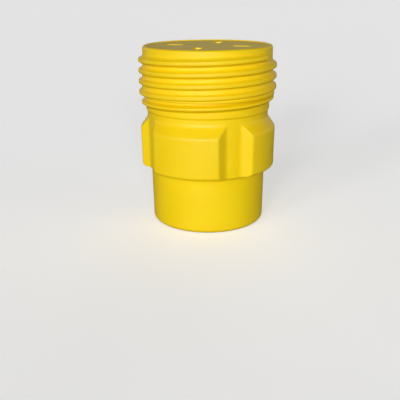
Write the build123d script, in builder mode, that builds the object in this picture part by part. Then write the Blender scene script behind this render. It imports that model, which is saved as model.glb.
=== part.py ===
"""Overpack salvage drum: a wide moulded drum with four side lugs and a deep, coarse-threaded screw lid.

Millimetres. The origin is the centre of the base on the floor, +Z is up, and one lug faces -Y.
Plan angles are counted from -Y, counter-clockwise seen from above.
"""

from build123d import *
import math
import os

# Overall size
HEIGHT = 1054.0  # floor to the highest point of the lid
CREST_RADIUS = 406.4  # outermost reach of the lid's thread: 32 in across
WALL = 4.5  # moulded wall

# Thread, shared by the neck and the lid
PITCH = 61.3
THREAD_TOP = 999.0  # middle of the lid's ridge at its upper end
THREAD_START_ANGLE = 78.0
RIDGE_CREST_HALF = 9.0  # half height of the ridge at its crest
RIDGE_SLOPE = 0.574  # how much that half grows for each millimetre towards the axis
LID_TURNS = 4.1

# Lid
LID_BOTTOM = 777.0
LID_TOP_RADIUS = 380.5
LID_BOTTOM_RADIUS = 390.5
LID_CORNER = 16.0
GROOVE_LEAD = 2.5  # degrees of solid wall at a ridge's end
RIDGE_EMBED = 3.0  # how far a ridge reaches into the wall that carries it
DECK_RECESS = 5.5  # how far the deck lies below the solid bead round its edge
BEAD_INNER = 362.0  # inner edge of the bead's top
BEAD_FOOT = 358.0  # foot of the slope inside the bead

# Wrench pockets in the lid's deck
POCKETS = 4
POCKET_LENGTH = 99.0  # along the radius
POCKET_WIDTH = 46.0
POCKET_DEPTH = 22.0
POCKET_RADIUS = 203.0  # axis to pocket middle
POCKET_CORNER = 12.0
POCKET_TAPER = 5.0  # degrees
POCKET_ANGLE = 4.0

# Gasket
GASKET_THICKNESS = 10.0
GASKET_OUTER = 364.0
GASKET_INNER = 353.0

# Neck
NECK_RADIUS = 368.0
NECK_FOOT = 688.0  # where the neck stands out over the shoulder
NECK_STEP = 9.0
NECK_THREAD_CREST = 394.0
NECK_THREAD_TURNS = 4.5
NECK_THREAD_LEAD = 25.0  # degrees by which it stops short of the lid's thread
THREAD_PLAY = 5.0  # along the axis, between the neck's ridge and the lid's groove
RIM_ROUND = 3.0
RIM_GAP = 0.3  # neck rim to gasket
MOUTH_RADIUS = 352.0  # inside the rim's turned-in lip

# Body
BODY_RADIUS = 360.5
LOWER_RADIUS = 346.5
FOOT_RADIUS = 341.0
FOOT_CORNER = 28.0
LOWER_STEP_TOP = 354.0  # buried in the ring that the lugs stand on
BASE_RING_INNER = 285.0
BASE_RECESS = 8.0
BASE_SLOPE = 12.0

# Lugs
LUGS = 4
LUG_RADIUS = 405.0  # at the top of the face
LUG_FOOT_RADIUS = 402.0  # at the bottom of the face
LUG_BOTTOM = 341.0
LUG_FACE_TOP = 582.0
LUG_TOP = 643.0
LUG_FACE_HALF_ANGLE = 29.7
LUG_ROOT_HALF_ANGLE = 37.7
LUG_CORNER = 14.0
LUG_ROOT_FILLET = 16.0
LUG_BOTTOM_CORNER = 20.0
LUG_BROW = 16.0  # rounding between the face and the slope above it
LUG_UNDER_FILLET = 26.0  # hollow rounding between the underside and the lower wall
LUG_FOOTING = 40.0  # how far the lugs' ring runs down inside the lower wall
LUG_SINK = 0.3  # how deep inside it
LUG_OVERRUN = 150.0  # the flanks are drawn this much longer than they end up
LUG_TRIM = 0.5  # the plan is drawn this much wider, then turned down to the face

DECK_TOP = HEIGHT - DECK_RECESS  # upper face of the lid's deck
DECK = DECK_TOP - WALL  # its underside
RIM = DECK - GASKET_THICKNESS - RIM_GAP  # top of the neck
THINNING = WALL * math.hypot(1, RIDGE_SLOPE)  # the wall's thickness measured along the axis on a flank


def polar(radius, degrees):
    """The plan point at a radius and a plan angle."""
    turn = math.radians(degrees - 90)
    return (radius * math.cos(turn), radius * math.sin(turn))


def ridge_half(radius):
    """Half height of the lid's outer ridge at a radius."""
    return RIDGE_CREST_HALF + RIDGE_SLOPE * (CREST_RADIUS - radius)


def corner_at(sketch, x, y):
    """The sketch's own vertex nearest to a point given in its plane."""
    return sketch.vertices().sort_by_distance(Vector(x, y))[0]


def helical_ridge(root, crest, less, turns):
    """A ridge from root to crest radius that climbs right-handed from z = 0 on +X.

    Its section is the lid's outer ridge, made less high on each side.
    """
    low = ridge_half(root) - less
    high = ridge_half(crest) - less
    with BuildLine() as path:
        Helix(pitch=PITCH, height=PITCH * turns, radius=crest)
    with BuildPart() as ridge:
        with BuildSketch(Plane.XZ):
            with BuildLine():
                Polyline((root, -low), (crest, -high), (crest, high), (root, low), close=True)
            make_face()
        sweep(path=path.line, is_frenet=True)
    return ridge.part


def thread_place(turns, lead):
    """Where a ridge of so many turns starts, for its upper end to stop short of the thread's by a lead."""
    end_z = THREAD_TOP - PITCH * lead / 360
    end_angle = THREAD_START_ANGLE - 90 - lead
    return Location((0, 0, end_z - PITCH * turns), (0, 0, end_angle - 360 * turns))


def lower_radius(z):
    """Outside radius of the lower wall, which widens upwards."""
    return FOOT_RADIUS + (LOWER_RADIUS - FOOT_RADIUS) * z / LUG_BOTTOM


def lug_plan_points(inset):
    """One lug's tapering outline about -Y, its flanks moved inwards by the inset."""
    root_x, root_y = polar(BODY_RADIUS, LUG_ROOT_HALF_ANGLE)
    edge_x, edge_y = polar(LUG_RADIUS, LUG_FACE_HALF_ANGLE)
    run = math.hypot(edge_x - root_x, edge_y - root_y)
    along_x = (edge_x - root_x) / run
    along_y = (edge_y - root_y) / run
    base_x = root_x + inset * along_y
    base_y = root_y - inset * along_x
    deep = (base_x - LUG_OVERRUN * along_x, base_y - LUG_OVERRUN * along_y)
    wide = (base_x + LUG_OVERRUN * along_x, base_y + LUG_OVERRUN * along_y)
    return deep, wide, (-wide[0], wide[1]), (-deep[0], deep[1])


def lug_block(inset):
    """The drum's middle with its lugs, every surface moved inwards by the inset."""
    face = LUG_RADIUS - inset
    face_foot = LUG_FOOT_RADIUS - inset
    body = BODY_RADIUS - inset
    bottom = LUG_BOTTOM + inset
    footing = LUG_BOTTOM - LUG_FOOTING
    root = LOWER_RADIUS - inset - LUG_SINK
    root_foot = lower_radius(footing) - inset - LUG_SINK
    face_top = LUG_FACE_TOP - inset / 2
    top = LUG_TOP - inset / 2
    with BuildPart() as block:
        with BuildSketch(Plane.XY.offset(footing)) as plan:
            with PolarLocations(0, LUGS):
                Polygon(*lug_plan_points(inset), align=None)
            Circle(face + LUG_TRIM, mode=Mode.INTERSECT)
            Circle(body)
            tips = plan.vertices().filter_by(lambda v: math.hypot(v.X, v.Y) > face - 1)
            fillet(tips, radius=LUG_CORNER - inset)
            roots = plan.vertices().filter_by(lambda v: math.hypot(v.X, v.Y) < body + 1)
            fillet(roots, radius=LUG_ROOT_FILLET + inset)
        extrude(amount=top - footing)
        with BuildSketch(Plane.XZ) as limit:
            with BuildLine():
                Polyline(
                    (0, footing),
                    (root_foot, footing),
                    (root, bottom),
                    (face_foot, bottom),
                    (face, face_top),
                    (body, top),
                    (0, top),
                    close=True,
                )
            make_face()
            fillet(corner_at(limit, root, bottom), radius=LUG_UNDER_FILLET + inset)
            fillet(corner_at(limit, face_foot, bottom), radius=LUG_BOTTOM_CORNER - inset)
            fillet(corner_at(limit, face, face_top), radius=LUG_BROW - inset)
        revolve(axis=Axis.Z, mode=Mode.INTERSECT)
    return block.part


def drum_profile(inset, mouth):
    """Half of the drum's round core, its surfaces moved inwards by the inset, ending in the mouth points."""
    ring = BASE_RING_INNER + inset
    floor = BASE_RECESS + inset
    with BuildSketch(Plane.XZ) as profile:
        with BuildLine():
            Polyline(
                (0, floor),
                (ring - BASE_SLOPE, floor),
                (ring, inset),
                (FOOT_RADIUS - inset, inset),
                (LOWER_RADIUS - inset, LUG_BOTTOM),
                (BODY_RADIUS - inset, LOWER_STEP_TOP),
                (BODY_RADIUS - inset, NECK_FOOT - NECK_STEP),
                (NECK_RADIUS - inset, NECK_FOOT),
                *mouth,
                (0, RIM),
                close=True,
            )
        make_face()
        fillet(corner_at(profile, FOOT_RADIUS - inset, inset), radius=FOOT_CORNER - inset)
        fillet(corner_at(profile, *mouth[0]), radius=RIM_ROUND)
    return profile.sketch


def lid_profile(inset, top, edge):
    """Half of the lid, its wall moved inwards by the inset, up to a top level and along the edge's points."""
    with BuildSketch(Plane.XZ) as profile:
        with BuildLine():
            Polyline(
                (0, LID_BOTTOM),
                (LID_BOTTOM_RADIUS - inset, LID_BOTTOM),
                (LID_TOP_RADIUS - inset, top),
                *edge,
                close=True,
            )
        make_face()
        fillet(corner_at(profile, LID_TOP_RADIUS - inset, top), radius=LID_CORNER - inset)
    return profile.sketch


def pocket_block(grow):
    """The lid's wrench pockets as solids, their sides and floor moved outwards by the amount."""
    top = DECK_TOP - grow / 2
    with BuildPart() as block:
        with BuildSketch(Plane.XY.offset(top)):
            with PolarLocations(POCKET_RADIUS, POCKETS, start_angle=POCKET_ANGLE - 90):
                RectangleRounded(POCKET_LENGTH + 2 * grow, POCKET_WIDTH + 2 * grow, POCKET_CORNER + grow)
        extrude(amount=DECK_TOP - POCKET_DEPTH - grow - top, taper=POCKET_TAPER)
    return block.part


# The drum: one moulded shell, with its lugs and the neck's thread
neck_thread = helical_ridge(
    NECK_RADIUS - RIDGE_EMBED, NECK_THREAD_CREST, THINNING + THREAD_PLAY, NECK_THREAD_TURNS
)
neck_groove_turns = NECK_THREAD_TURNS - 2 * GROOVE_LEAD / 360
neck_groove = helical_ridge(
    NECK_RADIUS - WALL - RIDGE_EMBED,
    NECK_THREAD_CREST - WALL,
    THINNING + THREAD_PLAY + THINNING,
    neck_groove_turns,
)
drum_middle = lug_block(0)
drum_middle_hollow = lug_block(WALL)
drum_outside = drum_profile(0, [(NECK_RADIUS, RIM)])
drum_hollow = drum_profile(
    WALL, [(NECK_RADIUS - WALL, RIM - WALL), (MOUTH_RADIUS, RIM - WALL), (MOUTH_RADIUS, RIM)]
)

with BuildPart() as drum_body:
    add(drum_outside)
    revolve(axis=Axis.Z)
    add(drum_middle)
    with Locations(thread_place(NECK_THREAD_TURNS, NECK_THREAD_LEAD)):
        add(neck_thread)
    add(drum_hollow)
    revolve(axis=Axis.Z, mode=Mode.SUBTRACT)
    add(drum_middle_hollow, mode=Mode.SUBTRACT)
    with Locations(thread_place(neck_groove_turns, NECK_THREAD_LEAD + GROOVE_LEAD)):
        add(neck_groove, mode=Mode.SUBTRACT)
drum_body.part.label = "drum_body"


# The screw lid: a deep moulded cap whose wall follows its own thread inside and out
lid_ridge = helical_ridge(LID_TOP_RADIUS - RIDGE_EMBED, CREST_RADIUS, 0, LID_TURNS)
lid_groove = helical_ridge(
    LID_TOP_RADIUS - WALL - RIDGE_EMBED, CREST_RADIUS - WALL, THINNING, LID_TURNS
)
lid_outside = lid_profile(0, HEIGHT, [(BEAD_INNER, HEIGHT), (BEAD_FOOT, DECK_TOP), (0, DECK_TOP)])
lid_hollow = lid_profile(WALL, DECK, [(0, DECK)])
pocket_walls = pocket_block(WALL)
pocket_hollows = pocket_block(0)

with BuildPart() as screw_lid:
    add(lid_outside)
    revolve(axis=Axis.Z)
    with Locations(thread_place(LID_TURNS, 0)):
        add(lid_ridge)
    add(lid_hollow)
    revolve(axis=Axis.Z, mode=Mode.SUBTRACT)
    with Locations(thread_place(LID_TURNS, GROOVE_LEAD)):
        add(lid_groove, mode=Mode.SUBTRACT)
    split(bisect_by=Plane.XY.offset(LID_BOTTOM), keep=Keep.TOP)
    add(pocket_walls)
    add(pocket_hollows, mode=Mode.SUBTRACT)
screw_lid.part.label = "screw_lid"


# The gasket: a closed-cell ring under the lid's deck
with BuildPart() as lid_gasket:
    with BuildSketch(Plane.XY.offset(DECK - GASKET_THICKNESS)):
        Circle(GASKET_OUTER)
        Circle(GASKET_INNER, mode=Mode.SUBTRACT)
    extrude(amount=GASKET_THICKNESS)
lid_gasket.part.label = "lid_gasket"


os.makedirs("parts", exist_ok=True)
for piece in (drum_body, screw_lid, lid_gasket):
    export_step(piece.part, f"parts/{piece.part.label}.step")
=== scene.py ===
"""The looks of a plastic overpack salvage drum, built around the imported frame.

Its shell, screw lid and gasket each stand for a CAD node.
"""

import math

import bmesh
import bpy
import numpy as np
from mathutils import Matrix, Vector


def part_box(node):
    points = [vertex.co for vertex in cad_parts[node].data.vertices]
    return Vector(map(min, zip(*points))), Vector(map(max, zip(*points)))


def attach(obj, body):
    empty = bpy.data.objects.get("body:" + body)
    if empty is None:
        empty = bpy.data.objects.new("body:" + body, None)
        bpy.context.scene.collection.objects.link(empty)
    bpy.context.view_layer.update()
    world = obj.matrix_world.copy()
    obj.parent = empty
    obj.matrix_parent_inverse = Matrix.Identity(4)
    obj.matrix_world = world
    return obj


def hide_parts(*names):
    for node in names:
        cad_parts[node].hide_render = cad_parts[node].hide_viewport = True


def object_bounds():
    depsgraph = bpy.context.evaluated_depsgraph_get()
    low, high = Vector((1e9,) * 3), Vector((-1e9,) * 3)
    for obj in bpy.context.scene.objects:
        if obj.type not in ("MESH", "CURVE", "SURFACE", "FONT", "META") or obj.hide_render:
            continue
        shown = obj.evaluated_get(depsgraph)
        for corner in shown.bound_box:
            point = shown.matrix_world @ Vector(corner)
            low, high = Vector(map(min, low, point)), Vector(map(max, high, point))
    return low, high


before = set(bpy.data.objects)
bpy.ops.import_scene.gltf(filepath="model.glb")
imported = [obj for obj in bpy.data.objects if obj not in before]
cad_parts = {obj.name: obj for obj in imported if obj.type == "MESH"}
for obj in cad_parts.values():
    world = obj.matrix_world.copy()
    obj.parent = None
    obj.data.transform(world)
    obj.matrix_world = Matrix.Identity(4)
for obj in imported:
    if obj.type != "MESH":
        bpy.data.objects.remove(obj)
cad_low, cad_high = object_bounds()

MM = 0.001

# Overall size
HEIGHT = cad_high.z
CREST = cad_high.x  # the lid's thread is the widest part
WALL = 4.5 * MM
CREASE = 40  # degrees above which a mould's edge stays sharp

# Thread, as on the CAD nodes. Plan angles are counted from -Y, in degrees.
PITCH = 61.3 * MM
THREAD_TOP = 999.0 * MM
THREAD_START = 78.0
RIDGE_CREST_HALF = 9.0 * MM
RIDGE_SLOPE = 0.574
THINNING = WALL * math.hypot(1, RIDGE_SLOPE)
GROOVE_LEAD = 2.5
LID_TURNS = 4.1
RIDGE_REACH = 3.0 * MM  # rounding where the lid's ridge meets its wall

# Lid
LID_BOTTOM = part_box("screw_lid")[0].z
LID_TOP_RADIUS = 380.5 * MM
LID_BOTTOM_RADIUS = 390.5 * MM
LID_TAPER_TOP = 985.0 * MM
LID_BAND_RADIUS = 396.5 * MM
LID_BAND_TOP = 791.0 * MM
LID_BAND_SLOPE = 1.2
LID_WAVES = 0.4 * MM
LIP_EDGE = 1.2 * MM
LIP_TOP = 1.5 * MM
LID_CORNER = 16.0 * MM
DECK_TOP = HEIGHT - 5.5 * MM  # the deck lies inside a low bead
BEAD_INNER = 362.0 * MM
BEAD_FOOT = 358.0 * MM
BEAD_EASE = 0.15  # share of the bead's slope that it takes to turn level at each end
DECK_RINGS = (355 * MM, 350 * MM, 344 * MM, 340 * MM)
UNDER_DECK_RINGS = (336 * MM, 340 * MM, 350 * MM)

# Wrench pockets
POCKETS = 4
POCKET_LENGTH = 99.0 * MM
POCKET_WIDTH = 46.0 * MM
POCKET_RADIUS = 203.0 * MM
POCKET_CORNER = 12.0 * MM
POCKET_ANGLE = 4.0
# Their sections, as millimetres outwards from the outline and upwards from the deck
POCKET_SECTION = [
    (7, 0), (4, 0), (1.8, -0.6), (0.5, -2), (0, -4),
    (-0.8, -13), (-1.4, -19), (-2.6, -21.2), (-5, -22),
]
POCKET_UNDERSIDE = [
    (12, -4.5), (9, -4.5), (6.5, -5.2), (5, -6.8), (4.5, -9),
    (3.2, -20), (1.5, -24.5), (-1, -26.2), (-4, -26.5),
]

# Neck
NECK_RADIUS = 368.0 * MM
NECK_FOOT = 688.0 * MM
NECK_STEP = 9.0 * MM
THREAD_FLOOR = 694.0 * MM  # level just below the neck's thread
NECK_CREST = 394.0 * MM
NECK_TURNS = 4.5
NECK_LEAD = 25.0
THREAD_PLAY = 5.0 * MM
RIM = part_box("drum_body")[1].z
RIM_ROUND = 4.0 * MM
MOUTH_RADIUS = 352.0 * MM
MOUTH_EDGE = 1.5 * MM

# Gasket
GASKET_INNER = 353.0 * MM
GASKET_EDGE = 1.5 * MM
GASKET_SQUEEZE = 0.35 * MM
GASKET_CREASE = 60

# Body and base
BODY_RADIUS = 360.5 * MM
LOWER_RADIUS = 346.5 * MM
FOOT_RADIUS = 341.0 * MM
FOOT_CORNER = 28.0 * MM
FOOT_SPREAD = 0.4 * MM  # how much the wall widens over the foot's corner
DRUM_WAVES = 0.5 * MM
BASE_RING_INNER = 285.0 * MM
BASE_RECESS = 8.0 * MM
BASE_SLOPE = 12.0 * MM

# Lugs
LUG_RADIUS = 405.0 * MM
LUG_FOOT_RADIUS = 402.0 * MM
LUG_BOTTOM = 341.0 * MM
LUG_BOTTOM_CORNER = 20.0 * MM
LUG_UNDER_FILLET = 26.0 * MM
LUG_FACE_TOP = 582.0 * MM
LUG_TOP = 643.0 * MM
LUG_FACE_HALF_ANGLE = 29.7
LUG_ROOT_HALF_ANGLE = 37.7
LUG_LIMIT = NECK_FOOT - 12.0 * MM  # no lug reaches above this
BROW_REACH = 7.0 * MM  # roundings where a lug's surfaces meet
ROOT_REACH = 10.0 * MM
FACE_REACH = 8.0 * MM
BROW_ROWS = 545.0 * MM  # the rows of the wall lie closer together from here up
SHOULDER_ROWS = 672.0 * MM

# How worn each place is, from 0 to 1
LUG_WEAR = 0.6
CREST_WEAR = 0.9
DECK_WEAR = 0.35

# Sections as (radius, height): the base outside, from its middle to its ring, and the rim's lip
BASE_SECTION = [
    (0, BASE_RECESS),
    (100 * MM, BASE_RECESS),
    (200 * MM, BASE_RECESS),
    (BASE_RING_INNER - BASE_SLOPE - 4 * MM, BASE_RECESS),
    (BASE_RING_INNER - BASE_SLOPE + 2 * MM, BASE_RECESS - 2 * MM),
    (BASE_RING_INNER - 2 * MM, 1.2 * MM),
    (BASE_RING_INNER + 3 * MM, 0),
]
MOUTH_SECTION = [
    (MOUTH_RADIUS + MOUTH_EDGE, RIM),
    (MOUTH_RADIUS, RIM - MOUTH_EDGE),
    (MOUTH_RADIUS, RIM - WALL + 1 * MM),
    (MOUTH_RADIUS + 1 * MM, RIM - WALL),
    (NECK_RADIUS - WALL - RIM_ROUND, RIM - WALL),
    (NECK_RADIUS - WALL, RIM - WALL - RIM_ROUND),
]


def soft_min(a, b, reach):
    """The lower of two, rounded where they come within reach of each other."""
    near = np.maximum(reach - np.abs(a - b), 0) / reach
    return np.minimum(a, b) - near * near * reach / 4


def soft_max(a, b, reach):
    return -soft_min(-a, -b, reach)


def smooth_step(x):
    x = np.clip(x, 0, 1)
    return x * x * (3 - 2 * x)


def trapezoid(t, root_half, crest_half, soften):
    """A ridge's section, 0 at its root and 1 on its crest, with its corners rounded."""
    total = np.zeros_like(t)
    spread = np.linspace(-1, 1, 9)
    weights = 1 - 0.7 * np.abs(spread)
    for shift, weight in zip(spread, weights):
        flank = (root_half - np.abs(t + shift * soften)) / (root_half - crest_half)
        total += weight * np.clip(flank, 0, 1)
    return total / weights.sum()


def ridge_half(radius):
    """Half height of the lid's outer ridge at a radius."""
    return RIDGE_CREST_HALF + RIDGE_SLOPE * (CREST - radius)


def ridge_share(angle, z, root, crest, less, turns, lead, soften, end_blend):
    """How far, from 0 to 1, a helical ridge lifts the wall at a plan angle and height.

    It is less high than the lid's outer ridge on each side, and its upper end stops short of the
    thread's by the lead. Its corners are softened, and it rises over end_blend degrees.
    """
    top_angle = THREAD_START - lead
    top_z = THREAD_TOP - PITCH * lead / 360
    above = z - (top_z + PITCH * (angle - top_angle) / 360)
    turn = np.round(above / PITCH)
    from_middle = above - turn * PITCH
    share = trapezoid(from_middle, ridge_half(root) - less, ridge_half(crest) - less, soften)
    unwound = angle + 360 * turn
    before_top = (top_angle - unwound) / end_blend
    after_bottom = (unwound - (top_angle - 360 * turns)) / end_blend
    return share * smooth_step(before_top) * smooth_step(after_bottom)


def waviness(angle, z, size):
    """Slow hollows of a moulded wall, never proud of it."""
    a = np.radians(angle)
    waves = np.sin(3 * a + 1.1 + 9 * z) + np.sin(7 * a - 2.3 + 23 * z)
    waves = waves + np.sin(13 * a + 0.4 - 31 * z)
    return -size * (waves + 3) / 6


class Shell:
    """A closed skin made of rings, each a radius and a height for every column of plan angles."""

    def __init__(self, columns):
        self.columns = columns
        self.rings = []

    def ring(self, radius, z):
        ones = np.ones_like(self.columns)
        self.rings.append((radius * ones, z * ones))

    def points(self, index):
        radius, z = self.rings[index]
        turn = np.radians(self.columns - 90)
        return np.stack([radius * np.cos(turn), radius * np.sin(turn), z], -1)

    def fill(self, mesh):
        """Adds the skin to a bmesh. Its last column lies on the first and is merged later."""
        grid = [[mesh.verts.new(p) for p in self.points(i)] for i in range(len(self.rings))]
        for low, high in zip(grid, grid[1:]):
            for j in range(len(self.columns) - 1):
                mesh.faces.new((low[j], low[j + 1], high[j + 1], high[j]))
        return grid


def finished(mesh, name, body, node, material, crease):
    """Turns a bmesh into a piece that stands for a CAD node."""
    bmesh.ops.remove_doubles(mesh, verts=mesh.verts, dist=2e-6)
    bmesh.ops.dissolve_degenerate(mesh, edges=mesh.edges, dist=1e-6)
    bmesh.ops.recalc_face_normals(mesh, faces=mesh.faces)
    data = bpy.data.meshes.new(name)
    mesh.to_mesh(data)
    mesh.free()
    data.polygons.foreach_set("use_smooth", [True] * len(data.polygons))
    data.set_sharp_from_angle(angle=math.radians(crease))
    piece = bpy.data.objects.new(name, data)
    bpy.context.scene.collection.objects.link(piece)
    data.materials.append(material)
    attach(piece, body)
    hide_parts(node)
    return piece


# Materials


class Nodes:
    """A short way to write a material's node tree."""

    def __init__(self, name):
        self.material = bpy.data.materials.new(name)
        self.material.use_nodes = True
        self.tree = self.material.node_tree
        self.shader = self.tree.nodes["Principled BSDF"]

    def add(self, kind, inputs=None, **settings):
        node = self.tree.nodes.new(kind)
        for key, value in settings.items():
            setattr(node, key, value)
        for key, value in (inputs or {}).items():
            if isinstance(value, bpy.types.NodeSocket):
                self.tree.links.new(value, node.inputs[key])
            else:
                node.inputs[key].default_value = value
        return node

    def link(self, source, key):
        self.tree.links.new(source, self.shader.inputs[key])

    def noise(self, vector, scale, detail=3.0, roughness=0.5):
        return self.add(
            "ShaderNodeTexNoise",
            {"Vector": vector, "Scale": scale, "Detail": detail, "Roughness": roughness},
        ).outputs["Fac"]

    def ramp(self, value, low, high):
        """Maps value from low..high to 0..1, clamped."""
        return self.add(
            "ShaderNodeMapRange", {"Value": value, "From Min": low, "From Max": high}, clamp=True
        ).outputs["Result"]

    def times(self, a, b):
        return self.add("ShaderNodeMath", {0: a, 1: b}, operation="MULTIPLY").outputs[0]

    def plus(self, a, b):
        return self.add("ShaderNodeMath", {0: a, 1: b}, operation="ADD").outputs[0]

    def mix(self, share, a, b):
        node = self.add("ShaderNodeMix", data_type="RGBA")
        for index, value in ((0, share), (6, a), (7, b)):
            if isinstance(value, bpy.types.NodeSocket):
                self.tree.links.new(value, node.inputs[index])
            else:
                node.inputs[index].default_value = value
        return node.outputs[2]


YELLOW = (0.94, 0.66, 0.002, 1)
PALE_YELLOW = (0.96, 0.68, 0.006, 1)
DEEP_YELLOW = (0.93, 0.62, 0.0005, 1)
SCUFF = (0.80, 0.62, 0.20, 1)
GRIME = (0.30, 0.24, 0.12, 1)


def moulded_plastic(name):
    """Yellow moulded polyethylene: mottled, faintly pebbled, scuffed on what stands proud."""
    made = Nodes(name)
    where = made.add("ShaderNodeTexCoord").outputs["Object"]
    wear = made.add("ShaderNodeAttribute", attribute_name="wear").outputs["Fac"]
    mottle = made.ramp(made.noise(where, 5.0, 4.0), 0.35, 0.65)
    cloud = made.ramp(made.noise(where, 38.0, 5.0, 0.6), 0.3, 0.7)
    colour = made.mix(mottle, DEEP_YELLOW, YELLOW)
    colour = made.mix(made.times(cloud, 0.35), colour, PALE_YELLOW)
    flattened = made.add("ShaderNodeMapping", {"Vector": where, "Scale": (1.0, 1.0, 9.0)})
    scratches = made.ramp(made.noise(flattened.outputs[0], 60.0, 8.0, 0.75), 0.56, 0.66)
    scuffed = made.times(scratches, wear)
    colour = made.mix(made.times(scuffed, 0.55), colour, SCUFF)
    specks = made.ramp(made.noise(where, 210.0, 2.0), 0.70, 0.76)
    colour = made.mix(made.times(specks, 0.25), colour, GRIME)
    made.link(colour, "Base Color")
    patchy = made.ramp(made.noise(where, 14.0, 6.0, 0.65), 0.3, 0.7)
    rough = made.plus(made.times(patchy, 0.12), 0.36)
    rough = made.plus(rough, made.times(scuffed, 0.22))
    made.link(rough, "Roughness")
    pebble = made.noise(where, 420.0, 3.0, 0.6)
    ripple = made.noise(where, 26.0, 2.0, 0.4)
    relief = made.plus(made.times(pebble, 0.25), ripple)
    relief = made.plus(relief, made.times(scuffed, -0.25))
    bump = made.add("ShaderNodeBump", {"Height": relief, "Strength": 0.16, "Distance": 0.004})
    made.link(bump.outputs["Normal"], "Normal")
    made.shader.inputs["Specular IOR Level"].default_value = 0.36
    made.shader.inputs["Subsurface Weight"].default_value = 0.06
    made.shader.inputs["Subsurface Radius"].default_value = (0.012, 0.008, 0.002)
    made.shader.inputs["Subsurface Scale"].default_value = 1.0
    return made.material


def foam(name):
    """Dark closed-cell foam."""
    made = Nodes(name)
    where = made.add("ShaderNodeTexCoord").outputs["Object"]
    cells = made.add("ShaderNodeTexVoronoi", {"Vector": where, "Scale": 900.0}).outputs["Distance"]
    blotch = made.ramp(made.noise(where, 60.0, 4.0), 0.35, 0.65)
    made.link(made.mix(blotch, (0.022, 0.022, 0.024, 1), (0.05, 0.05, 0.052, 1)), "Base Color")
    made.link(made.plus(made.times(cells, 0.2), 0.7), "Roughness")
    bump = made.add("ShaderNodeBump", {"Height": cells, "Strength": 0.5, "Distance": 0.0008})
    made.link(bump.outputs["Normal"], "Normal")
    return made.material


def set_wear(piece, share_at):
    """Stores how worn each point is, from 0 to 1, as the attribute that the plastic reads."""
    data = piece.data
    points = np.empty(len(data.vertices) * 3)
    data.vertices.foreach_get("co", points)
    layer = data.attributes.new("wear", "FLOAT", "POINT")
    layer.data.foreach_set("value", share_at(points.reshape(-1, 3)).astype(np.float32))


# Heights of the rows that follow the thread over one pitch, closest at the ridge's corners
ROW_STEPS = np.array([-30.6, -27, -25, -23, -21, -18.5, -16, -13.5, -11.5, -9.5, -7.5, -4.5, 0])
ROW_STEPS = np.concatenate([ROW_STEPS[1:], -ROW_STEPS[:-1][::-1]]) * MM


def thread_rows(columns, low, high):
    """Rows that climb with the thread between two level ends."""
    first = math.floor((low - THREAD_TOP) / PITCH) - 1
    last = math.ceil((high - THREAD_TOP) / PITCH) + 1
    rows = []
    for turn in range(first, last + 1):
        for step in ROW_STEPS:
            z = THREAD_TOP + PITCH * (turn + (columns - THREAD_START) / 360) + step
            if z.max() > low and z.min() < high:
                rows.append(np.clip(z, low, high))
    return [low + 0 * columns, *rows, high + 0 * columns]


# The drum

LUG_EDGE = (LUG_RADIUS * math.sin(math.radians(LUG_FACE_HALF_ANGLE)),
            LUG_RADIUS * math.cos(math.radians(LUG_FACE_HALF_ANGLE)))
LUG_ROOT = (BODY_RADIUS * math.sin(math.radians(LUG_ROOT_HALF_ANGLE)),
            BODY_RADIUS * math.cos(math.radians(LUG_ROOT_HALF_ANGLE)))
FLANK_RUN = (LUG_ROOT[0] - LUG_EDGE[0]) / (LUG_EDGE[1] - LUG_ROOT[1])


def lug_reach(angle, z, inset):
    """Radius of the lug's flanks and sloping brow, without its face or the body it stands on."""
    off = np.radians(np.abs((angle + 45) % 90 - 45))
    start = LUG_EDGE[0] + FLANK_RUN * LUG_EDGE[1] - inset * math.hypot(1, FLANK_RUN)
    flank = start / (np.sin(off) + FLANK_RUN * np.cos(off))
    brow_run = (LUG_RADIUS - BODY_RADIUS) / (LUG_TOP - LUG_FACE_TOP)
    brow = BODY_RADIUS + (LUG_TOP - z) * brow_run - inset
    return soft_min(flank, brow, BROW_REACH)


def face_reach(z, inset):
    """Radius of the lugs' faces and of the hollow rounding below them."""
    hollow = LUG_UNDER_FILLET + inset
    rise = np.clip((z - LUG_BOTTOM + LUG_UNDER_FILLET) / hollow, 0, 1)
    below = LOWER_RADIUS + LUG_UNDER_FILLET - hollow * np.sqrt(1 - rise * rise)
    drop = np.clip((LUG_FACE_TOP - z) / (LUG_FACE_TOP - LUG_BOTTOM), 0, 1)
    face = LUG_RADIUS - (LUG_RADIUS - LUG_FOOT_RADIUS) * drop - inset
    corner = LUG_BOTTOM_CORNER - inset
    into = np.clip((LUG_BOTTOM + LUG_BOTTOM_CORNER - z) / corner, 0, 1)
    above = face - corner * (1 - np.sqrt(1 - into * into))
    return np.where(z < LUG_BOTTOM + inset, below, above)


def body_reach(z, inset):
    """Radius of the drum's round body above its lower wall, with the step up to the neck."""
    heights, radii = [NECK_FOOT - NECK_STEP, NECK_FOOT], [BODY_RADIUS, NECK_RADIUS]
    shifts = np.array([-3, -1.5, 0, 1.5, 3]) * MM
    return sum(np.interp(z + shift, heights, radii) for shift in shifts) / len(shifts) - inset


def drum_radius(angle, z, inset):
    """Radius of the whole wall below the neck."""
    lower = FOOT_RADIUS + (LOWER_RADIUS - FOOT_RADIUS) * z / LUG_BOTTOM - inset
    body = body_reach(z, inset)
    lugged = soft_max(body, lug_reach(angle, z, inset), ROOT_REACH)
    plan = np.where(z < LUG_LIMIT, lugged, body)
    outside = soft_min(plan, face_reach(z, inset), FACE_REACH)
    return np.where(z < LUG_BOTTOM - LUG_UNDER_FILLET, lower, np.maximum(lower, outside))


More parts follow.
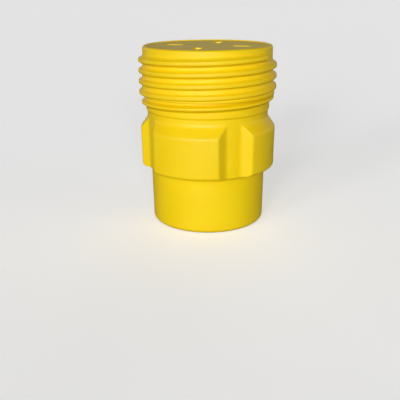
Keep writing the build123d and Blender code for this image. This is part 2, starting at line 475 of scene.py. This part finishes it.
def neck_radius(angle, z, inset):
    """Radius of the neck with its thread, outside or, with an inset, inside."""
    if inset:
        share = ridge_share(
            angle, z, NECK_RADIUS, NECK_CREST, less=2 * THINNING + THREAD_PLAY,
            turns=NECK_TURNS - 2 * GROOVE_LEAD / 360, lead=NECK_LEAD + GROOVE_LEAD,
            soften=3 * MM, end_blend=1.5,
        )
    else:
        share = ridge_share(
            angle, z, NECK_RADIUS, NECK_CREST, less=THINNING + THREAD_PLAY,
            turns=NECK_TURNS, lead=NECK_LEAD, soften=4 * MM, end_blend=2.5,
        )
    return NECK_RADIUS - inset + (NECK_CREST - NECK_RADIUS) * share


def drum_columns():
    """Plan angles, close together across each lug's flanks."""
    wide, close = 1.5, 0.5
    spans = [(-45, -42, wide), (-42, -25, close), (-25, 25, wide), (25, 42, close), (42, 45, wide)]
    quarter = np.concatenate([np.arange(*span) for span in spans])
    return np.concatenate([quarter + 90 * k for k in range(4)] + [np.array([315.0])])


def wall_heights():
    """Row heights of the wall below the neck, close together where it turns."""
    turn = np.radians(np.linspace(0, 90, 11))
    hair = 0.01 * MM
    below = LUG_BOTTOM - LUG_UNDER_FILLET * (1 - np.sin(turn)) - hair
    above = LUG_BOTTOM + LUG_BOTTOM_CORNER * (1 - np.cos(turn)) + hair
    return np.concatenate([
        np.linspace(FOOT_CORNER, below[0], 12, endpoint=False), below, above,
        np.linspace(above[-1], BROW_ROWS, 12, endpoint=False)[1:],
        np.linspace(BROW_ROWS, SHOULDER_ROWS, 36, endpoint=False),
        np.linspace(SHOULDER_ROWS, THREAD_FLOOR, 14),
    ])


def drum_wear(points):
    """Worn on the lugs' faces and towards the foot."""
    radius = np.hypot(points[:, 0], points[:, 1])
    on_lug = LUG_WEAR * smooth_step((radius - LUG_RADIUS + 12 * MM) / (11 * MM))
    at_foot = smooth_step((90 * MM - points[:, 2]) / (80 * MM))
    return np.clip(on_lug + at_foot, 0, 1)


def build_drum(material):
    """The moulded drum, as one skin from the middle of the base outside to its middle inside."""
    columns = drum_columns()
    ones = np.ones_like(columns)
    shell = Shell(columns)
    for radius, z in BASE_SECTION:
        shell.ring(radius, z)
    for k in range(9):
        turn = math.radians(90 * k / 8)
        shell.ring(FOOT_RADIUS - FOOT_CORNER * (1 - math.sin(turn)) + FOOT_SPREAD * k / 8,
                   FOOT_CORNER * (1 - math.cos(turn)))
    for z in wall_heights()[1:]:
        shell.ring(drum_radius(columns, z * ones, 0) + waviness(columns, z * ones, DRUM_WAVES), z)
    for z in thread_rows(columns, THREAD_FLOOR, RIM - RIM_ROUND):
        shell.ring(neck_radius(columns, z, 0), z)
    for k in range(1, 6):
        turn = math.radians(90 * k / 5)
        shell.ring(NECK_RADIUS - RIM_ROUND * (1 - math.cos(turn)),
                   RIM - RIM_ROUND * (1 - math.sin(turn)))
    for radius, z in MOUTH_SECTION:
        shell.ring(radius, z)
    for z in thread_rows(columns, THREAD_FLOOR, RIM - WALL - 1.5 * RIM_ROUND)[::-1]:
        shell.ring(neck_radius(columns, z, WALL), z)
    for z in wall_heights()[1:-1][::-1]:
        shell.ring(drum_radius(columns, z * ones, WALL), z)
    inner = FOOT_CORNER - WALL
    for k in range(7):
        turn = math.radians(90 - 90 * k / 6)
        shell.ring(FOOT_RADIUS - FOOT_CORNER + inner * math.sin(turn),
                   FOOT_CORNER - inner * math.cos(turn))
    shell.ring(BASE_RING_INNER + WALL, WALL)
    for radius in (BASE_RING_INNER + WALL - BASE_SLOPE, 100 * MM, 0):
        shell.ring(radius, BASE_RECESS + WALL)
    mesh = bmesh.new()
    shell.fill(mesh)
    piece = finished(mesh, "drum_shell", "drum", "drum_body", material, CREASE)
    set_wear(piece, drum_wear)


# The lid


def lid_wall(z):
    """Radius of the skirt between its ridges, with the band round its lower edge."""
    share = np.clip((LID_TAPER_TOP - z) / (LID_TAPER_TOP - LID_BOTTOM), 0, 1)
    wall = LID_TOP_RADIUS + (LID_BOTTOM_RADIUS - LID_TOP_RADIUS) * share
    band = LID_BAND_RADIUS - LID_BAND_SLOPE * np.maximum(z - LID_BAND_TOP, 0)
    return soft_max(wall, band, RIDGE_REACH)


def lid_radius(angle, z, inset):
    """Radius of the skirt with its thread, outside or, with an inset, inside."""
    wall = lid_wall(z)
    middle = (LID_TOP_RADIUS + LID_BOTTOM_RADIUS) / 2
    if inset:
        share = ridge_share(
            angle, z, middle, CREST, less=THINNING,
            turns=LID_TURNS, lead=GROOVE_LEAD, soften=2 * MM, end_blend=1.0,
        )
    else:
        share = ridge_share(
            angle, z, middle, CREST, less=0,
            turns=LID_TURNS, lead=0, soften=2.5 * MM, end_blend=1.2,
        )
    ridge = np.where(share > 0, middle + (CREST - middle) * share, 0)
    return np.minimum(soft_max(wall, ridge, RIDGE_REACH), CREST) - inset


def lid_columns():
    """Plan angles, close together where the ridge starts."""
    even = np.arange(-180, 180, 1.0)
    start = np.arange(THREAD_START - 4, THREAD_START + 1, 0.25)
    return np.unique(np.concatenate([even, start, [180.0]]))


def rounded_rectangle(length, width, corner, steps=6):
    """Points of a rounded rectangle about the origin, length along x."""
    points = []
    for cx, cy, first in ((1, 1, 0), (-1, 1, 90), (-1, -1, 180), (1, -1, 270)):
        for k in range(steps + 1):
            turn = math.radians(first + 90 * k / steps)
            points.append((cx * (length / 2 - corner) + corner * math.cos(turn),
                           cy * (width / 2 - corner) + corner * math.sin(turn)))
    return points


def pocket_loops(mesh, place, section):
    """One pocket's rings down its section, with its floor closed. Returns the first ring."""
    rings = []
    for out, up in section:
        grow = out * MM
        length, width = POCKET_LENGTH + 2 * grow, POCKET_WIDTH + 2 * grow
        outline = rounded_rectangle(length, width, POCKET_CORNER + grow)
        z = DECK_TOP + up * MM
        rings.append([mesh.verts.new(place @ Vector((x, y, z))) for x, y in outline])
    for upper, lower in zip(rings, rings[1:]):
        for j in range(len(upper)):
            k = (j + 1) % len(upper)
            mesh.faces.new((upper[j], upper[k], lower[k], lower[j]))
    mesh.faces.new(rings[-1])
    return rings[0]


def close_deck(mesh, outer, pockets):
    """Fills the flat of the deck between its outer ring and the pockets."""
    edges = []
    for ring in (outer, *pockets):
        for j in range(len(ring)):
            pair = (ring[j], ring[(j + 1) % len(ring)])
            edges.append(mesh.edges.get(pair) or mesh.edges.new(pair))
    bmesh.ops.triangle_fill(mesh, use_beauty=True, use_dissolve=False, edges=edges)


def lid_wear(points):
    """Worn most on the thread's crests, and a little on the deck."""
    radius = np.hypot(points[:, 0], points[:, 1])
    on_crest = CREST_WEAR * smooth_step((radius - CREST + 7 * MM) / (6 * MM))
    on_deck = DECK_WEAR * smooth_step((points[:, 2] - DECK_TOP + 6 * MM) / (5 * MM))
    return np.clip(on_crest + on_deck, 0, 1)


def build_lid(material):
    """The screw lid, as one skin from the deck's underside round the lip to the deck."""
    columns = lid_columns()
    ones = np.ones_like(columns)
    shell = Shell(columns)
    inner_top = DECK_TOP - WALL
    for radius in UNDER_DECK_RINGS:
        shell.ring(radius, inner_top)
    inner = LID_CORNER - WALL
    for k in range(6):
        turn = math.radians(90 * k / 5)
        shell.ring(LID_TOP_RADIUS - LID_CORNER + inner * math.sin(turn),
                   inner_top - inner + inner * math.cos(turn))
    for z in thread_rows(columns, LID_BOTTOM + LIP_TOP, inner_top - inner - 1 * MM)[::-1]:
        shell.ring(lid_radius(columns, z, WALL), z)
    lip = LID_BOTTOM * ones
    shell.ring(lid_radius(columns, lip, WALL) + LIP_EDGE, lip)
    shell.ring(lid_radius(columns, lip, 0) - LIP_EDGE, lip)
    for z in thread_rows(columns, LID_BOTTOM + LIP_TOP, HEIGHT - LID_CORNER - 1 * MM):
        shell.ring(lid_radius(columns, z, 0) + waviness(columns, z, LID_WAVES), z)
    for k in range(9):
        turn = math.radians(90 * k / 8)
        shell.ring(LID_TOP_RADIUS - LID_CORNER + LID_CORNER * math.cos(turn),
                   HEIGHT - LID_CORNER + LID_CORNER * math.sin(turn))
    for share in np.linspace(-BEAD_EASE, 1 + BEAD_EASE, 11):
        drop = float(smooth_step((share + BEAD_EASE) / (1 + 2 * BEAD_EASE)))
        radius = BEAD_INNER + (BEAD_FOOT - BEAD_INNER) * share
        shell.ring(radius, HEIGHT + (DECK_TOP - HEIGHT) * drop)
    for radius in DECK_RINGS:
        shell.ring(radius, DECK_TOP)
    mesh = bmesh.new()
    grid = shell.fill(mesh)
    bottom_ring, top_ring = grid[0][:-1], grid[-1][:-1]
    tops, bottoms = [], []
    for k in range(POCKETS):
        turn = math.radians(POCKET_ANGLE - 90 + 360 / POCKETS * k)
        place = Matrix.Rotation(turn, 4, "Z") @ Matrix.Translation((POCKET_RADIUS, 0, 0))
        tops.append(pocket_loops(mesh, place, POCKET_SECTION))
        bottoms.append(pocket_loops(mesh, place, POCKET_UNDERSIDE))
    close_deck(mesh, top_ring, tops)
    close_deck(mesh, bottom_ring, bottoms)
    piece = finished(mesh, "lid_shell", "lid", "screw_lid", material, CREASE)
    set_wear(piece, lid_wear)


def build_gasket(material):
    """The foam ring, its corners cut off and its outer side slightly uneven."""
    low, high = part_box("lid_gasket")
    outer, inner, edge = high.x, GASKET_INNER, GASKET_EDGE
    columns = np.arange(-180, 181, 1.5)
    shell = Shell(columns)
    squeeze = GASKET_SQUEEZE * (1 + np.sin(np.radians(columns) * 11 + 0.7)) / 2
    section = [
        (inner + edge, low.z), (outer - edge, low.z), (outer, low.z + edge),
        (outer, high.z - edge), (outer - edge, high.z), (inner + edge, high.z),
        (inner, high.z - edge), (inner, low.z + edge), (inner + edge, low.z),
    ]
    for radius, z in section:
        inwards = squeeze if radius >= outer - edge else 0
        shell.ring(radius - inwards, z)
    mesh = bmesh.new()
    shell.fill(mesh)
    finished(mesh, "gasket_ring", "seal", "lid_gasket", material, GASKET_CREASE)


# Camera, light and floor

CAMERA_ANGLE = math.radians(21.2)  # where the camera stands, from -Y
CAMERA_DISTANCE = 3.580
CAMERA_HEIGHT = 1.360
CAMERA_DOWN, CAMERA_ASIDE, CAMERA_ROLL = 0.34034, 0.01432, 0.00878  # radians
FOCAL_LENGTH = 596.843  # in units of one 400th of the frame's width
SENSOR_WIDTH = 36

# Name, angle from the camera's direction, elevation, spread, power and highlights of each light
SUNS = [
    ("key", -18, 13, 14, 1.15, True),
    ("key_left", -40, 13, 14, 0.66, True),
    ("key_right", 6, 13, 14, 1.14, True),
    ("right_fill", 66, 6, 24, 0.34, False),
    ("back_fill", 165, 2, 50, 0.95, False),
]

# The studio: slopes at which the walls begin and end, and how bright each part is
GROUND_EDGE = -0.12
WALL_TOP = 0.25
CEILING = 0.46
WALL_LIGHT = 0.49
CEILING_LIGHT = 0.03
GROUND_LIGHT = 0.08
FLOOR_GLOW = 0.45
FLOOR_HALF = 150
WHITE = (1, 1, 1, 1)


def build_camera():
    """Looks down at the drum from a little above its lid."""
    stand = Matrix.Rotation(CAMERA_ANGLE, 3, "Z")
    turn = stand @ Matrix.Rotation(CAMERA_ASIDE, 3, "Z")
    ahead = turn @ Vector((0, 1, 0))
    right = turn @ Vector((1, 0, 0))
    upright = Vector((0, 0, 1))
    look = ahead * math.cos(CAMERA_DOWN) - upright * math.sin(CAMERA_DOWN)
    up = ahead * math.sin(CAMERA_DOWN) + upright * math.cos(CAMERA_DOWN)
    rolled_right = right * math.cos(CAMERA_ROLL) - up * math.sin(CAMERA_ROLL)
    rolled_up = right * math.sin(CAMERA_ROLL) + up * math.cos(CAMERA_ROLL)
    data = bpy.data.cameras.new("camera")
    data.sensor_width = SENSOR_WIDTH
    data.lens = FOCAL_LENGTH * SENSOR_WIDTH / 400
    camera = bpy.data.objects.new("camera", data)
    bpy.context.scene.collection.objects.link(camera)
    matrix = Matrix((rolled_right, rolled_up, -look)).transposed().to_4x4()
    matrix.translation = stand @ Vector((0, -CAMERA_DISTANCE, 0)) + upright * CAMERA_HEIGHT
    camera.matrix_world = matrix
    bpy.context.scene.camera = camera


def soft_sun(name, angle, elevation, spread, power, glossy):
    """A wide far light, its angle counted to the right of the camera's side of the drum."""
    turn = CAMERA_ANGLE + math.radians(angle)
    rise = math.radians(elevation)
    level = math.cos(rise)
    towards = Vector((math.sin(turn) * level, -math.cos(turn) * level, math.sin(rise)))
    data = bpy.data.lights.new(name, "SUN")
    data.angle = math.radians(spread)
    data.energy = power
    light = bpy.data.objects.new(name, data)
    light.rotation_mode = "QUATERNION"
    light.rotation_quaternion = towards.to_track_quat("Z", "Y")
    light.visible_glossy = glossy
    bpy.context.scene.collection.objects.link(light)


def build_world():
    """A studio with bright walls, a dark ceiling and dimmer light from below."""
    world = bpy.data.worlds.new("studio")
    bpy.context.scene.world = world
    world.use_nodes = True
    tree = world.node_tree
    direction = tree.nodes.new("ShaderNodeTexCoord").outputs["Generated"]
    parts = tree.nodes.new("ShaderNodeSeparateXYZ")
    tree.links.new(direction, parts.inputs[0])
    level = tree.nodes.new("ShaderNodeMath")
    level.operation = "MINIMUM"
    upper = (WALL_TOP, CEILING, WALL_LIGHT, CEILING_LIGHT)
    lower = (GROUND_EDGE, 0, GROUND_LIGHT, WALL_LIGHT)
    for index, values in enumerate((upper, lower)):
        ramp = tree.nodes.new("ShaderNodeMapRange")
        for key, value in zip(("From Min", "From Max", "To Min", "To Max"), values):
            ramp.inputs[key].default_value = value
        tree.links.new(parts.outputs["Z"], ramp.inputs["Value"])
        tree.links.new(ramp.outputs["Result"], level.inputs[index])
    tree.links.new(level.outputs[0], tree.nodes["Background"].inputs["Strength"])
    tree.nodes["Background"].inputs["Color"].default_value = WHITE


def build_floor():
    """A pale floor that isn't seen in the drum's own light and reflections."""
    mesh = bpy.data.meshes.new("floor")
    corners = [(-1, -1), (1, -1), (1, 1), (-1, 1)]
    points = [(x * FLOOR_HALF, y * FLOOR_HALF, 0) for x, y in corners]
    mesh.from_pydata(points, [], [(0, 1, 2, 3)])
    floor = bpy.data.objects.new("floor", mesh)
    bpy.context.scene.collection.objects.link(floor)
    made = Nodes("pale_floor")
    where = made.add("ShaderNodeTexCoord").outputs["Object"]
    grain = made.ramp(made.noise(where, 3.0, 3.0), 0.3, 0.7)
    made.link(made.mix(grain, (0.90, 0.90, 0.90, 1), (0.93, 0.93, 0.93, 1)), "Base Color")
    made.shader.inputs["Roughness"].default_value = 0.9
    made.shader.inputs["Specular IOR Level"].default_value = 0.2
    made.shader.inputs["Emission Color"].default_value = WHITE
    made.shader.inputs["Emission Strength"].default_value = FLOOR_GLOW
    mesh.materials.append(made.material)
    floor.visible_diffuse = False
    floor.visible_glossy = False


build_drum(moulded_plastic("drum_polyethylene"))
build_lid(moulded_plastic("lid_polyethylene"))
build_gasket(foam("gasket_foam"))
build_camera()
build_world()
build_floor()
for sun in SUNS:
    soft_sun(*sun)
bpy.context.scene.view_settings.view_transform = "Standard"
